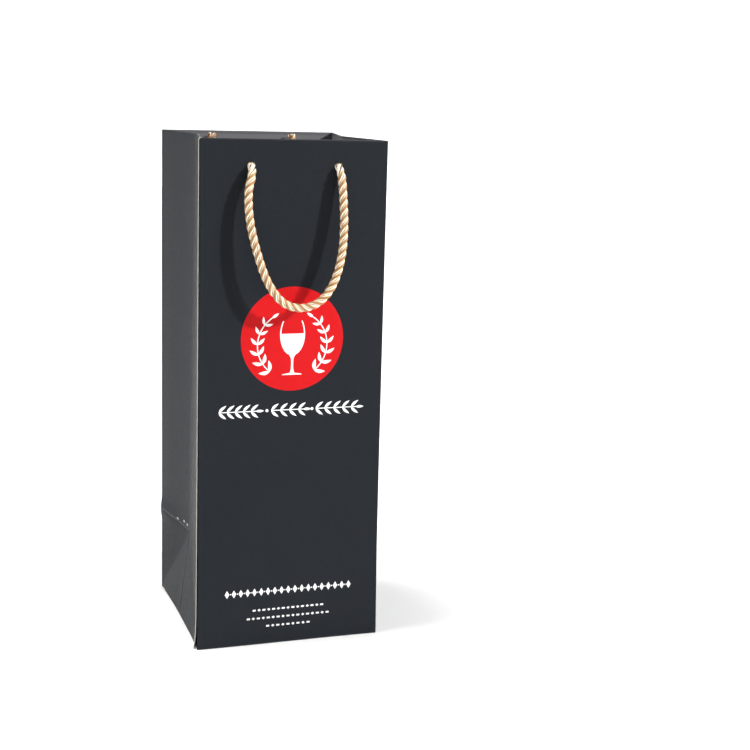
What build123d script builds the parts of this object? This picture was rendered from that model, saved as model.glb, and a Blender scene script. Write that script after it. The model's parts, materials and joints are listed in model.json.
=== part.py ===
from build123d import *
import math
import os

# Wine gift bag: one folded and glued sheet of laminated paper with side gussets,
# stiffened at the rim and the base, and carried by two knotted rope handles.
# The origin is the middle of the underside, +Z is up and the front faces -Y.

# ---- driving dimensions, millimetres ----
width = 125.0  # across the front
depth = 125.0  # front to rear
height = 340.0  # base to rim
paper = 0.4  # laminated paper

hem_height = 40.0  # turn-in at the rim
card_thickness = 1.0  # stiffener inside the front and rear turn-ins
card_height = 36.0
card_side_gap = 3.0  # each end of a card to the inside of the bag

rim_fold_in = 12.0  # how far a gusset's middle crease stands in at the rim
apex_fold_in = 7.7  # the same where the base creases meet
tab_width = 15.0  # glued lap along the front left corner

front_flap_past_middle = 15.0
rear_flap_past_middle = 15.0
side_flap_depth = 50.0
board_thickness = 1.5
board_gap = 1.0  # base board to each wall

rope_diameter = 5.5
rope_hole_gap = 0.5  # all round the rope
hole_spacing = 58.0
hole_drop = 17.0  # rim to hole centre
swing_gap = 0.3  # end of a swinging loop to the neck in the hole
knot_diameter = 15.0
knot_thickness = 12.0
knot_rounding = 4.0
tail_below_rim = 1.5

# ---- sizes that follow ----
rope_radius = rope_diameter / 2
rope_hole_radius = rope_radius + rope_hole_gap
wall_y = depth / 2 - paper  # inside of the front and rear panels
hem_y = wall_y - card_thickness - paper  # inside of the turn-ins there
hem_low = height - hem_height
hole_z = height - hole_drop
crease_height = depth / 2  # the base folds up flat, so its creases rise by half the depth
floor_stack = 3 * paper  # three layers of flaps
wall_lean = apex_fold_in * floor_stack / crease_height
flap_half_width = width / 2 - paper - wall_lean
pivot_y = depth / 2 + swing_gap + rope_radius
hole_places = [(-hole_spacing / 2, hole_z), (hole_spacing / 2, hole_z)]

# Each loop's middle line as hung: across, out from the pivot line, down from the pivot line.
front_loop = [
    (-hole_spacing / 2, 0.0, 0.0),
    (-32.6, 2.5, 16.0),
    (-32.2, 5.4, 34.0),
    (-27.8, 8.2, 54.0),
    (-21.6, 10.0, 72.5),
    (-11.8, 11.0, 86.5),
    (1.6, 11.4, 90.6),
    (14.6, 11.1, 86.2),
    (23.8, 10.1, 74.0),
    (29.0, 8.4, 56.5),
    (30.9, 5.7, 37.0),
    (30.4, 2.7, 17.5),
    (hole_spacing / 2, 0.0, 0.0),
]
rear_loop = [
    (-hole_spacing / 2, 0.0, 0.0),
    (-31.2, 2.4, 16.5),
    (-31.4, 5.2, 35.0),
    (-28.4, 7.8, 54.5),
    (-22.2, 9.4, 72.0),
    (-12.6, 10.3, 85.0),
    (-0.8, 10.7, 89.4),
    (11.6, 10.4, 86.4),
    (21.4, 9.5, 74.6),
    (28.2, 7.9, 57.0),
    (31.6, 5.4, 37.5),
    (31.0, 2.7, 18.0),
    (hole_spacing / 2, 0.0, 0.0),
]

os.makedirs("parts", exist_ok=True)


def save(part, name):
    part.label = name
    export_step(part, f"parts/{name}.step")


# ---- front and rear: panel, stiffening card and turn-in, all pierced for the rope ----


def upright_sheet(end, outer, half_width, low, high):
    """Outline of a sheet that stands with its outer face at a distance from the middle."""
    plane = Plane(origin=(0, end * outer, 0), x_dir=(1, 0, 0), z_dir=(0, -1, 0))
    with BuildSketch(plane) as outline:
        with Locations((0, low)):
            Rectangle(2 * half_width, high - low, align=(Align.CENTER, Align.MIN))
        with Locations(*hole_places):
            Circle(rope_hole_radius, mode=Mode.SUBTRACT)
    return outline.sketch


def panel(end):
    with BuildPart() as sheet:
        extrude(upright_sheet(end, depth / 2, width / 2, 0, height), amount=end * paper)
    return sheet.part


def reinforcement_card(end):
    half_width = width / 2 - paper - card_side_gap
    top = height - paper
    with BuildPart() as card:
        outline = upright_sheet(end, wall_y, half_width, top - card_height, top)
        extrude(outline, amount=end * card_thickness)
    return card.part


def panel_hem(end):
    half_width = width / 2 - 2 * paper
    with BuildPart() as hem:
        extrude(upright_sheet(end, hem_y + paper, half_width, hem_low, height), amount=end * paper)
        with BuildSketch(Plane.XY.offset(height)):
            with Locations((0, end * (hem_y + wall_y) / 2)):
                Rectangle(2 * half_width, wall_y - hem_y)
        extrude(amount=-paper)
    return hem.part


for end, end_name in ((-1, "front"), (1, "rear")):
    save(panel(end), f"{end_name}_panel")
    save(reinforcement_card(end), f"{end_name}_reinforcement_card")
    save(panel_hem(end), f"{end_name}_hem")


# ---- gussets: each half is three flat facets from a corner to the middle crease ----


def gusset_facets():
    """For each facet, how far it stands in from the side at (y, z), and its outline of such points."""
    slope = (rim_fold_in - apex_fold_in) / (height - crease_height)
    return [
        # along the corner, from the base to the rim
        (
            lambda y, z: apex_fold_in * (1 - y / wall_y),
            [(wall_y, 0), (wall_y, height), (0, crease_height)],
        ),
        # along the middle crease, above the base creases
        (
            lambda y, z: rim_fold_in * (1 - y / wall_y) - slope * (height - z),
            [(0, crease_height), (0, height), (wall_y, height)],
        ),
        # between the base and its diagonal crease
        (
            lambda y, z: apex_fold_in * z / crease_height,
            [(wall_y, 0), (0, crease_height), (0, 0)],
        ),
    ]


def flat_facet(side, corners):
    """Flat piece of sheet through three corners, its thickness towards the middle of the bag."""
    points = [Vector(*corner) for corner in corners]
    along = points[1] - points[0]
    plane = Plane(origin=points[0], x_dir=along, z_dir=along.cross(points[2] - points[0]))
    with BuildPart() as facet:
        with BuildSketch(plane):
            with BuildLine():
                Polyline(*[plane.to_local_coords(point) for point in points], close=True)
            make_face()
        extrude(amount=paper, dir=(-side, 0, 0))
    return facet.part


def gusset_half(side, end, inset=0.0):
    """One half of a gusset, or a second layer behind it when set in by its thickness."""
    facets = []
    for stands_in, outline in gusset_facets():
        corners = [(side * (width / 2 - stands_in(y, z) - inset), end * y, z) for y, z in outline]
        facets.append(flat_facet(side, corners))
    with BuildPart() as half:
        add(facets)
    return half.part


def second_layer(side, end, outline):
    """What an outline of (y, z) points cuts from the layer of paper behind a gusset half."""
    layer = gusset_half(side, end, inset=paper)
    with BuildPart() as cut:
        add(layer)
        with BuildSketch(Plane.YZ):
            with BuildLine():
                Polyline(*[(end * y, z) for y, z in outline], close=True)
            make_face()
        extrude(amount=side * width, mode=Mode.INTERSECT)
    return cut.part


hem_outline = [(0, hem_low), (hem_y, hem_low), (hem_y, height), (0, height)]
for side, side_name in ((-1, "left"), (1, "right")):
    for end, end_name in ((-1, "front"), (1, "rear")):
        save(gusset_half(side, end), f"{side_name}_gusset_{end_name}_half")
        save(second_layer(side, end, hem_outline), f"{side_name}_hem_{end_name}_half")


# ---- glue tab: continues the front panel round the left corner, behind the gusset ----

tab_inner_y = wall_y - tab_width
tab_rise = tab_width * crease_height / wall_y  # its lower end follows the diagonal crease
tab_outline = [
    (wall_y, floor_stack),
    (tab_inner_y, floor_stack + tab_rise),
    (tab_inner_y, hem_low),
    (wall_y, hem_low),
]
save(second_layer(-1, -1, tab_outline), "glue_tab")


# ---- base: front flap outermost, then rear flap, then the two side flaps, then the board ----


def end_flap(end, past_middle, low):
    with BuildPart() as flap:
        with BuildSketch(Plane.XY.offset(low)):
            with Locations((0, end * (wall_y - past_middle) / 2)):
                Rectangle(2 * flap_half_width, wall_y + past_middle)
        extrude(amount=paper)
    return flap.part


def side_flap(side):
    inner_x = flap_half_width - side_flap_depth
    inner_y = wall_y * (1 - side_flap_depth / flap_half_width)
    with BuildPart() as flap:
        with BuildSketch(Plane.XY.offset(2 * paper)):
            with BuildLine():
                Polyline(
                    (side * flap_half_width, -wall_y),
                    (side * flap_half_width, wall_y),
                    (side * inner_x, inner_y),
                    (side * inner_x, -inner_y),
                    close=True,
                )
            make_face()
        extrude(amount=paper)
    return flap.part


save(end_flap(-1, front_flap_past_middle, 0), "front_bottom_flap")
save(end_flap(1, rear_flap_past_middle, paper), "rear_bottom_flap")
save(side_flap(-1), "left_bottom_flap")
save(side_flap(1), "right_bottom_flap")

with BuildPart() as base_board:
    with BuildSketch(Plane.XY.offset(floor_stack)):
        Rectangle(width - 2 * (paper + board_gap), 2 * (wall_y - board_gap))
    extrude(amount=board_thickness)
save(base_board.part, "base_board")


# ---- rope: a knot behind each hole with its neck in the hole, and a loop between them ----


def knot(side, end):
    x = side * hole_spacing / 2
    knot_y = hem_y - knot_thickness / 2
    with BuildPart() as tied:
        with BuildSketch(Plane(origin=(x, end * hem_y, hole_z), z_dir=(0, -end, 0))):
            Circle(knot_diameter / 2)
        extrude(amount=knot_thickness)
        fillet(tied.edges(), knot_rounding)
        with BuildSketch(Plane(origin=(x, end * depth / 2, hole_z), z_dir=(0, -end, 0))):
            Circle(rope_radius)
        extrude(amount=depth / 2 - knot_y)
        with BuildSketch(Plane(origin=(x, end * knot_y, hole_z))):
            Circle(rope_radius)
        extrude(amount=hole_drop - tail_below_rim)
    return tied.part


def arc_radii(points):
    """Largest arcs that the runs allow: 0.45 of the shorter run over the tangent of half the turn."""
    radii = []
    for before, corner, after in zip(points, points[1:], points[2:]):
        run_in = corner - before
        run_out = after - corner
        half_turn = math.radians(run_in.get_angle(run_out) / 2)
        radii.append(0.45 * min(run_in.length, run_out.length) / math.tan(half_turn))
    return radii


def cord(name, end, loop):
    points = [Vector(x, end * (pivot_y + out), hole_z - down) for x, out, down in loop]
    radii = arc_radii(points)
    with BuildPart() as rope:
        with BuildLine() as route:
            FilletPolyline(*points, radius=radii)
        with BuildSketch(Plane(origin=points[0], z_dir=points[1] - points[0])):
            Circle(rope_radius)
        sweep()
        swept = rope.part.volume
        with Locations(points[0], points[-1]):
            Sphere(rope_radius)
    length = sum(edge.length for edge in route.edges())
    section = math.pi * rope_radius**2
    print(name, "arc radii", [round(radius, 1) for radius in radii])
    print(name, f"length {length:.1f}, volume {swept:.0f}, section times length {section * length:.0f}")
    return rope.part


for end, end_name, loop in ((-1, "front", front_loop), (1, "rear", rear_loop)):
    for side, side_name in ((-1, "left"), (1, "right")):
        save(knot(side, end), f"{end_name}_{side_name}_knot")
    save(cord(f"{end_name}_cord", end, loop), f"{end_name}_cord")
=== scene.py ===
import json
import math

import bmesh
import bpy
import numpy as np
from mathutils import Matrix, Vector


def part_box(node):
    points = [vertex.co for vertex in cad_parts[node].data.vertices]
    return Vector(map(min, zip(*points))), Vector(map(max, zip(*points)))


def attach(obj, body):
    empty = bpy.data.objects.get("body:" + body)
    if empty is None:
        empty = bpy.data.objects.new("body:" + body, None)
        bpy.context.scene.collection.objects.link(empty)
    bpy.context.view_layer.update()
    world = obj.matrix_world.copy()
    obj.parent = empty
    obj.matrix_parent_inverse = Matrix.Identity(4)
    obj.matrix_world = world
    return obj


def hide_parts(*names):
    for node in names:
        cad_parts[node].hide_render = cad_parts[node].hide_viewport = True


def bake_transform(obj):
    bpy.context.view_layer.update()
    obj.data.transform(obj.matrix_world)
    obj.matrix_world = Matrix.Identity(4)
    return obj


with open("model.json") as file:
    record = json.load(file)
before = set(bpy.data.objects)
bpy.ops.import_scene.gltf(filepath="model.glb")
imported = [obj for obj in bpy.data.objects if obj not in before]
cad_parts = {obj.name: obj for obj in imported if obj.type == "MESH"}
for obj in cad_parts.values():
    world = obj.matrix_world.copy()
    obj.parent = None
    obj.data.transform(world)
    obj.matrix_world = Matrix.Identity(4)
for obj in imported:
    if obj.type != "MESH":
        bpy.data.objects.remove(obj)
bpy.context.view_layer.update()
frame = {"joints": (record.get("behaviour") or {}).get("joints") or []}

mm = 0.001
sharpFrom = 48  # degrees between faces at which shading breaks

# sizes that the frame already settles, in metres
panelLow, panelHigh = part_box("front_panel")
gussetLow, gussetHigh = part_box("left_gusset_front_half")
hemLow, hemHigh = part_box("front_hem")
joints = {joint["name"]: joint for joint in frame["joints"]}
bagWidth = panelHigh.x - panelLow.x
bagDepth = -2 * panelLow.y
bagHeight = panelHigh.z
paperThick = panelHigh.y - panelLow.y
rimFoldIn = gussetHigh.x - gussetLow.x - paperThick
swingHeight = joints["front_handle_swing"]["pos_m"][2]
swingOut = -joints["front_handle_swing"]["pos_m"][1]
knotLow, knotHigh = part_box("front_right_knot")
holeAcross = knotLow.x / 2 + knotHigh.x / 2

view = {
    "place": (-0.2445, -0.9334, 0.3781),
    "turn": (78.12, -1.74, -18.78),  # degrees
    "lens": 67.19,  # on a 36 mm sensor
}


def addCamera():
    data = bpy.data.cameras.new("camera")
    data.lens = view["lens"]
    data.sensor_width = 36
    camera = bpy.data.objects.new("camera", data)
    camera.location = view["place"]
    camera.rotation_euler = [math.radians(angle) for angle in view["turn"]]
    bpy.context.scene.collection.objects.link(camera)
    bpy.context.scene.camera = camera


addCamera()
print("camera set")


# mesh object from arrays of points and faces, with a UV and named numbers for each point
def meshFrom(name, points, faces, uvs=None, marks=None):
    mesh = bpy.data.meshes.new(name)
    mesh.from_pydata(np.asarray(points, float).reshape(-1, 3).tolist(), [], np.asarray(faces).tolist())
    if uvs is not None:
        layer = mesh.uv_layers.new(name="UVMap")
        corner = np.zeros(len(mesh.loops), np.int32)
        mesh.loops.foreach_get("vertex_index", corner)
        layer.data.foreach_set("uv", np.asarray(uvs, float).reshape(-1, 2)[corner].ravel())
    for mark, values in (marks or {}).items():
        mesh.attributes.new(mark, "FLOAT", "POINT").data.foreach_set("value", np.ravel(values))
    mesh.shade_smooth()
    made = bpy.data.objects.new(name, mesh)
    bpy.context.scene.collection.objects.link(made)
    return made


# quads between neighbouring points of a grid; wrap closes each row on itself
def gridFaces(rows, columns, wrap=False):
    row, column = np.mgrid[0 : rows - 1, 0 : columns if wrap else columns - 1]
    here, there = row * columns, (row + 1) * columns
    after = (column + 1) % columns
    quads = np.stack([here + column, here + after, there + after, there + column], -1)
    return quads.reshape(-1, 4)


# several (points, faces) pairs as one
def joined(parts):
    offsets = np.cumsum([0] + [len(points) for points, faces in parts[:-1]])
    faces = np.concatenate([faces + offset for (points, faces), offset in zip(parts, offsets)])
    return np.concatenate([points for points, faces in parts]), faces


def mergeDoubles(made, distance=1e-6):
    work = bmesh.new()
    work.from_mesh(made.data)
    bmesh.ops.remove_doubles(work, verts=work.verts, dist=distance)
    bmesh.ops.dissolve_degenerate(work, edges=work.edges, dist=distance / 10)
    work.to_mesh(made.data)
    work.free()


def applyModifiers(made):
    graph = bpy.context.evaluated_depsgraph_get()
    final = bpy.data.meshes.new_from_object(made.evaluated_get(graph))
    made.modifiers.clear()
    made.data = final


# gives a sheet its thickness inward from the given face and keeps its cut edges crisp; layers
# leaves room for three materials: the given face, the inside and the cut edge
def thicken(made, thickness, layers=False):
    solid = made.modifiers.new("thickness", "SOLIDIFY")
    solid.thickness = thickness
    solid.offset = -1
    if layers:
        solid.material_offset, solid.material_offset_rim = 1, 2
        for slot in range(3):
            made.data.materials.append(None)
    applyModifiers(made)
    made.data.set_sharp_from_angle(angle=math.radians(sharpFrom))


def smoothStep(low, high, value):
    share = np.clip((value - low) / (high - low), 0, 1)
    return share * share * (3 - 2 * share)


# the smaller of two, rounded where they meet: half their sum less a softened half difference
def smoothMin(first, second, soft):
    return 0.5 * (first + second - np.sqrt((first - second) ** 2 + soft**2))


# a material's node tree, with short calls for the nodes used here
class Shader:
    def __init__(self, name):
        self.material = bpy.data.materials.new(name)
        self.material.use_nodes = True
        self.tree = self.material.node_tree
        self.surface = self.tree.nodes["Principled BSDF"]
        self.column = 0

    def node(self, kind, **settings):
        made = self.tree.nodes.new(kind)
        self.column += 1
        made.location = (-220 * (self.column % 12 + 1), -260 * (self.column // 12))
        for name, value in settings.items():
            setattr(made, name, value)
        return made

    def put(self, source, target):
        if isinstance(source, bpy.types.NodeSocket):
            self.tree.links.new(source, target)
        else:
            target.default_value = source

    def putColour(self, source, target):
        self.put(source if isinstance(source, bpy.types.NodeSocket) else (*source, 1), target)

    def math(self, operation, first, second=0.0, clamp=False):
        made = self.node("ShaderNodeMath", operation=operation, use_clamp=clamp)
        for value, socket in zip((first, second), made.inputs):
            self.put(value, socket)
        return made.outputs[0]

    def times(self, first, second):
        return self.math("MULTIPLY", first, second)

    def plus(self, first, second, clamp=False):
        return self.math("ADD", first, second, clamp)

    def place(self):
        return self.node("ShaderNodeTexCoord").outputs["Object"]

    def uv(self):
        return self.node("ShaderNodeUVMap", uv_map="UVMap").outputs["UV"]

    def attribute(self, name):
        return self.node("ShaderNodeAttribute", attribute_name=name).outputs["Fac"]

    def split(self, vector):
        made = self.node("ShaderNodeSeparateXYZ")
        self.tree.links.new(vector, made.inputs[0])
        return made.outputs

    def scaled(self, vector, scale):
        made = self.node("ShaderNodeMapping")
        self.tree.links.new(vector, made.inputs["Vector"])
        made.inputs["Scale"].default_value = scale
        return made.outputs[0]

    def noise(self, vector, scale, detail=3.0, roughness=0.5):
        made = self.node("ShaderNodeTexNoise")
        self.tree.links.new(vector, made.inputs["Vector"])
        for name, value in (("Scale", scale), ("Detail", detail), ("Roughness", roughness)):
            made.inputs[name].default_value = value
        return made.outputs["Fac"]

    def ramp(self, value, stops):
        made = self.node("ShaderNodeValToRGB")
        while len(made.color_ramp.elements) < len(stops):
            made.color_ramp.elements.new(0.5)
        for element, (position, colour) in zip(made.color_ramp.elements, stops):
            element.position = position
            element.color = (*colour, 1)
        self.tree.links.new(value, made.inputs[0])
        return made.outputs[0]

    def range(self, value, low, high, newLow, newHigh):
        made = self.node("ShaderNodeMapRange")
        for number, socket in zip((value, low, high, newLow, newHigh), made.inputs):
            self.put(number, socket)
        return made.outputs[0]

    def mix(self, share, first, second):
        made = self.node("ShaderNodeMix", data_type="RGBA")
        self.put(share, made.inputs["Factor"])
        sockets = [socket for socket in made.inputs if socket.type == "RGBA"]
        for value, socket in zip((first, second), sockets):
            self.putColour(value, socket)
        return next(socket for socket in made.outputs if socket.type == "RGBA")

    def bump(self, height, strength, distance, normal=None):
        made = self.node("ShaderNodeBump")
        made.inputs["Strength"].default_value = strength
        made.inputs["Distance"].default_value = distance
        self.tree.links.new(height, made.inputs["Height"])
        if normal is not None:
            self.tree.links.new(normal, made.inputs["Normal"])
        return made.outputs[0]

    def finish(self, colour, roughness, normal=None, **fixed):
        self.putColour(colour, self.surface.inputs["Base Color"])
        self.put(roughness, self.surface.inputs["Roughness"])
        if normal is not None:
            self.tree.links.new(normal, self.surface.inputs["Normal"])
        for name, value in fixed.items():
            self.surface.inputs[name].default_value = value
        return self.material


# rope of three twisted strands, in metres
rope = {
    "diameter": 0.0055,
    "lay": 0.0165,  # one full turn of the strands
    "strandOut": 0.00149,  # strand's middle to the rope's middle
    "strandRadius": 0.00128,
    "strandWide": 1.06,  # how much wider than deep a pressed strand is
    "yarns": 9,  # ridges round each strand
    "yarnDepth": 0.055,
    "yarnTwist": -0.55,  # turns of yarn for each turn of the strands, the other way
    "step": 0.0007,
    "around": 40,  # points round each strand
    "pinch": 0.12,  # how much thinner the hole makes the rope
    "pinchFrom": 0.0045,  # where it is thinnest, from the rope's end
    "pinchLong": 0.0042,
    "tailFlare": 0.35,  # how much a knot's cut tail spreads
    "flareLong": 0.006,
    "bendFrom": (-0.0030, 0.0012),  # the bend at a hole starts here: out and up from the swing line
    "bendTo": (0.0008, -0.0026),
}

# each loop's middle line as hung: across, out from the swing line, down from it, in metres
frontLoop = [
    (-0.0326, 0.0025, 0.0160),
    (-0.0322, 0.0054, 0.0340),
    (-0.0278, 0.0082, 0.0540),
    (-0.0216, 0.0100, 0.0725),
    (-0.0118, 0.0110, 0.0865),
    (0.0016, 0.0114, 0.0906),
    (0.0146, 0.0111, 0.0862),
    (0.0238, 0.0101, 0.0740),
    (0.0290, 0.0084, 0.0565),
    (0.0309, 0.0057, 0.0370),
    (0.0304, 0.0027, 0.0175),
]
rearLoop = [
    (-0.0312, 0.0024, 0.0165),
    (-0.0314, 0.0052, 0.0350),
    (-0.0284, 0.0078, 0.0545),
    (-0.0222, 0.0094, 0.0720),
    (-0.0126, 0.0103, 0.0850),
    (-0.0008, 0.0107, 0.0894),
    (0.0116, 0.0104, 0.0864),
    (0.0214, 0.0095, 0.0746),
    (0.0282, 0.0079, 0.0570),
    (0.0316, 0.0054, 0.0375),
    (0.0310, 0.0027, 0.0180),
]
# out of the hole and over its shoulder: sideways, out and down from the swing line at the hole
shoulder = [
    (0.0, -0.0070, 0.0003),
    (0.0, -0.0038, 0.0005),
    (0.0, -0.0014, 0.0018),
    (0.0009, 0.0010, 0.0072),
]


# even points, a step apart, along the NURBS curve that a route's points control
def routeLine(points, step):
    curve = bpy.data.curves.new("route", "CURVE")
    curve.dimensions = "3D"
    curve.resolution_u = 24
    spline = curve.splines.new("NURBS")
    spline.points.add(len(points) - 1)
    spline.points.foreach_set("co", [n for point in points for n in (*point, 1.0)])
    spline.order_u = 3
    spline.use_endpoint_u = True
    holder = bpy.data.objects.new("route", curve)
    mesh = bpy.data.meshes.new_from_object(holder)
    line = np.zeros(len(mesh.vertices) * 3)
    mesh.vertices.foreach_get("co", line)
    line = line.reshape(-1, 3)
    bpy.data.objects.remove(holder)
    bpy.data.meshes.remove(mesh)
    bpy.data.curves.remove(curve)
    along = np.concatenate([[0], np.cumsum(np.linalg.norm(np.diff(line, axis=0), axis=1))])
    at = np.linspace(0, along[-1], int(round(along[-1] / step)) + 1)
    return np.stack([np.interp(at, along, line[:, axis]) for axis in range(3)], 1)


def unit(vectors):
    return vectors / np.maximum(np.linalg.norm(vectors, axis=-1, keepdims=True), 1e-12)


# tangents, and side vectors carried along the line without twisting about it
def carriedFrames(line, first):
    tangents = unit(np.gradient(line, axis=0))
    sides = np.zeros_like(line)
    side = np.array(first, float)
    for index, tangent in enumerate(tangents):
        side = unit(side - (side @ tangent) * tangent)
        sides[index] = side
    return tangents, sides, np.cross(tangents, sides)


# three strands: each strand's middle turns about the line as a helix, and its section is a
# pressed circle whose radius rises and falls with the yarns, which turn the other way
def strandMesh(name, line, first, flare=0.0, squeeze=0.0):
    tangents, sides, ups = carriedFrames(line, first)
    along = np.concatenate([[0], np.cumsum(np.linalg.norm(np.diff(line, axis=0), axis=1))])
    left = along[-1] - along
    cap = rope["strandRadius"]
    near = np.minimum(along, left)
    pinch = 1 - squeeze * np.exp(-(((near - rope["pinchFrom"]) / rope["pinchLong"]) ** 2))
    close = pinch * np.sqrt(1 - np.clip(1 - near / cap, 0, 1) ** 2)
    spread = pinch * (1 + flare * smoothStep(rope["flareLong"], 0.0, left))
    angle = math.pi + np.linspace(0, 2 * math.pi, rope["around"], endpoint=False)
    turn = 2 * math.pi * along / rope["lay"]
    parts, uvs, crowns = [], [], []
    for strand in range(3):
        lead = turn + 2 * math.pi * strand / 3
        outward = np.cos(lead)[:, None] * sides + np.sin(lead)[:, None] * ups
        middle = line + rope["strandOut"] * spread[:, None] * outward
        run = unit(np.gradient(middle, axis=0))
        radial = unit(outward - (outward * run).sum(1, keepdims=True) * run)
        across = np.cross(run, radial)
        ridge = np.cos(rope["yarns"] * (angle[None, :] - rope["yarnTwist"] * turn[:, None]))
        radius = rope["strandRadius"] * close[:, None] * (1 + rope["yarnDepth"] * ridge)
        points = (
            middle[:, None, :]
            + (radius * np.cos(angle))[..., None] * radial[:, None, :]
            + (radius * rope["strandWide"] * np.sin(angle))[..., None] * across[:, None, :]
        )
        away = np.linalg.norm(points - line[:, None, :], axis=2)
        crowns.append(away / (rope["strandOut"] + rope["strandRadius"]))
        fibre = (angle[None, :] - rope["yarnTwist"] * turn[:, None]) / (2 * math.pi) + 7 * strand
        u, v = np.broadcast_arrays(fibre, turn[:, None] / (2 * math.pi))
        uvs.append(np.stack([u, v], -1).reshape(-1, 2))
        faces = gridFaces(len(line), rope["around"], wrap=True)
        parts.append((points.reshape(-1, 3), faces))
    points, faces = joined(parts)
    # how far out from the rope's middle each point lies; the rope's material paints shade and highlight from
    # it
    marks = {"crown": np.concatenate([crown.ravel() for crown in crowns])}
    made = meshFrom(name, points, faces, np.concatenate(uvs), marks)
    mergeDoubles(made)
    return made


# the whole route from behind one hole to behind the other, end -1 at the front and 1 at the rear
def loopRoute(loop, end):
    route = [(-holeAcross - x, out, down) for x, out, down in shoulder]
    route += loop
    route += [(holeAcross + x, out, down) for x, out, down in reversed(shoulder)]
    return [(x, end * (swingOut + out), swingHeight - down) for x, out, down in route]


def makeLoop(name, loop, end, node):
    line = routeLine(loopRoute(loop, end), rope["step"])
    made = strandMesh(name, line, (0.0, 0.0, 1.0), squeeze=rope["pinch"])
    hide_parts(node)
    length = float(np.linalg.norm(np.diff(line, axis=0), axis=1).sum())
    print(name, "rope length", round(length, 4))
    return made, line, length


print("ropes")
frontRope, frontLine, frontLength = makeLoop("front_rope", frontLoop, -1, "front_cord")
rearRope, rearLine, rearLength = makeLoop("rear_rope", rearLoop, 1, "rear_cord")

# a knot's middle line: sideways, up from the hole, inward from the turn-in, in metres
knotRoute = [
    (0.0000, -0.0010, -0.0006),
    (0.0000, 0.0000, 0.0020),
    (-0.0010, 0.0000, 0.0064),
    (0.0004, 0.0004, 0.0102),
    (0.0045, 0.0008, 0.0100),
    (0.0061, 0.0004, 0.0064),
    (0.0044, 0.0038, 0.0030),
    (0.0000, 0.0058, 0.0026),
    (-0.0050, 0.0036, 0.0030),
    (-0.0053, -0.0026, 0.0036),
    (-0.0014, -0.0056, 0.0044),
    (0.0026, -0.0040, 0.0060),
    (0.0029, 0.0006, 0.0072),
    (0.0016, 0.0054, 0.0076),
    (0.0006, 0.0100, 0.0068),
    (0.0000, 0.0154, 0.0060),
]


# an overhand stopper knot behind a hole, mirrored for the other side, its tail standing up
def makeKnot(node, side, end):
    turned = [
        (side * holeAcross + side * x, end * (abs(hemHigh.y) - inward), swingHeight + up)
        for x, up, inward in knotRoute
    ]
    line = routeLine(turned, rope["step"])
    made = strandMesh(node + "_rope", line, (1.0, 0.0, 0.0), flare=rope["tailFlare"])
    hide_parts(node)
    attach(made, "bag")
    return made


knots = {
    (end, side): makeKnot(f"{endName}_{sideName}_knot", side, end)
    for end, endName in ((-1, "front"), (1, "rear"))
    for side, sideName in ((-1, "left"), (1, "right"))
}


def declareLoop(made):
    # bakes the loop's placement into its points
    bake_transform(made)


declareLoop(frontRope)
declareLoop(rearRope)


# one piece of paper walked round the bag and over the rim
sheet = {
    "cell": bagDepth / 96,  # grid step in the gussets and the lower part
    "cornerRadius": 0.75 * mm,
    "baseRadius": 0.7 * mm,
    "apexIn": 7.7 * mm,  # how far the middle crease stands in where the base creases meet
    "seamBack": 3.2 * mm,  # cut edge to the front left corner
    "seamLift": 0.75 * mm,  # the cut edge stands off the tab by this much
    "seamFade": 2 * mm,  # and lies down again over this much
    "footLift": 1.5 * mm,  # what it stands off further at the foot
    "footFade": 4.5 * mm,
    "footHigh": 8 * mm,
    "seamGap": 0.06 * mm,
    "tabWidth": 15 * mm,
    "hemDepth": bagHeight - hemLow.z,
    "gussetRim": 0.9 * mm,  # thickness of the rim over a gusset
    "panelRim": abs(panelLow.y) - abs(hemHigh.y),
    "holeCell": 2.65 / 4 * mm,  # grid step round a hole, a quarter of the hole's radius
    "holeCells": 7,  # how many of them the fine grid reaches from the middle
    "gussetRise": 0.82 * mm,  # the fold under a gusset rests on the edges of two flaps
    "middleRound": 0.05,  # softness of the gusset's middle crease, as a share of half the depth
    "kinkOut": 1.1 * mm,  # how far the fold across a rear half stands out at its outer edge
    "kinkHigh": 8 * mm,
    "pressedAcross": 0.28 * mm,  # depth of the pressed lines
    "pressedMiddle": 0.30 * mm,
    "tabRim": 1.1 * mm,  # what the folded-in glue tab adds to the rim
}

runLengths = [bagDepth, bagWidth, bagDepth, bagWidth, sheet["tabWidth"]]
runStarts = np.concatenate([[0], np.cumsum(runLengths)])
halfW, halfD = bagWidth / 2, bagDepth / 2
cornerPoints = np.array([(-1, -1), (-1, 1), (1, 1), (1, -1), (-1, -1)]) * (halfW, halfD)
runWays = np.array([(0, 1), (1, 0), (0, -1), (-1, 0), (0, 1)], float)


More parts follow.
